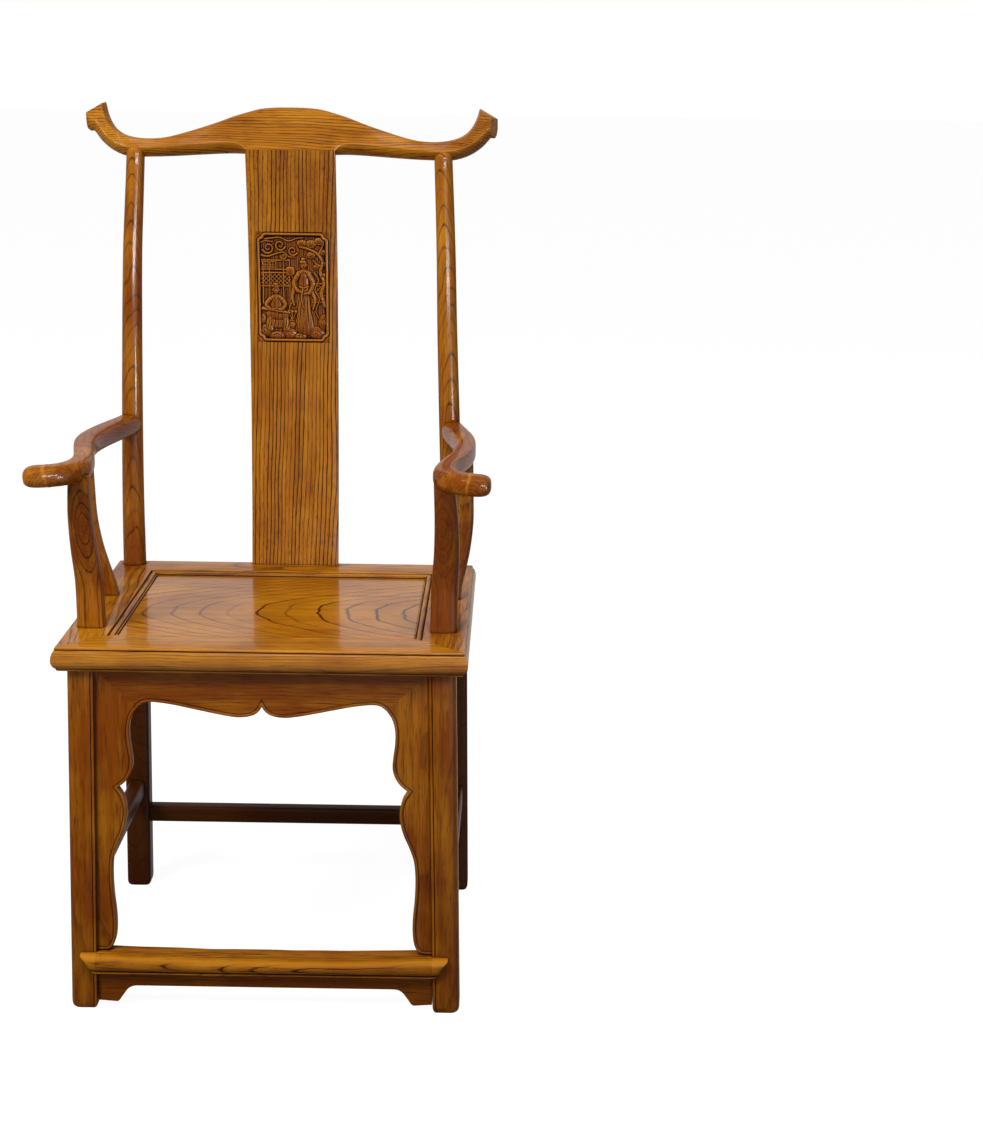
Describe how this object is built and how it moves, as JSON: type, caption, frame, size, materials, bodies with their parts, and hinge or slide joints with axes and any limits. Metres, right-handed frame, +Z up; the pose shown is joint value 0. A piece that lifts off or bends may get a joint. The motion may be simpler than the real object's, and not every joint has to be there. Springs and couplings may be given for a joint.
{
  "type": "official hat chair",
  "caption": "Yoke-back armchair with crest rail and arms that run past their posts, carved curved splat, framed panel seat, cusped apron and footrest.",
  "frame": {"origin": "on the floor, under the middle of the overall width and depth", "axes": "+Z up, the front faces -Y, +X to the right as seen from the front"},
  "size_m": [0.5882, 0.484, 1.158],
  "materials": {
    "lacquered_elm": "glossy honey lacquer over elm, dark glaze in the grooves",
    "seat_panel_elm": "polished lacquer over flat-sawn elm with broad grain",
    "carved_elm": "glossy lacquer, carved relief with a dark ground",
    "worn_elm": "lacquer worn along the upper edge"
  },
  "bodies": {
    "root": {"back_splat": "carved_elm", "crest_rail": "lacquered_elm", "footrest": "worn_elm", "footrest_apron": "lacquered_elm", "front_apron_head": "lacquered_elm", "front_apron_left": "lacquered_elm", "front_apron_right": "lacquered_elm", "left_arm": "lacquered_elm", "left_front_leg": "lacquered_elm", "left_gooseneck": "lacquered_elm", "left_rear_post": "lacquered_elm", "left_seat_batten": "lacquered_elm", "left_side_apron": "lacquered_elm", "left_side_post": "lacquered_elm", "left_side_stretcher": "lacquered_elm", "rear_apron": "lacquered_elm", "rear_stretcher": "lacquered_elm", "right_arm": "lacquered_elm", "right_front_leg": "lacquered_elm", "right_gooseneck": "lacquered_elm", "right_rear_post": "lacquered_elm", "right_seat_batten": "lacquered_elm", "right_side_apron": "lacquered_elm", "right_side_post": "lacquered_elm", "right_side_stretcher": "lacquered_elm", "seat_front_rail": "lacquered_elm", "seat_left_rail": "lacquered_elm", "seat_panel": "seat_panel_elm", "seat_rear_rail": "lacquered_elm", "seat_right_rail": "lacquered_elm"}
  },
  "joints": []
}
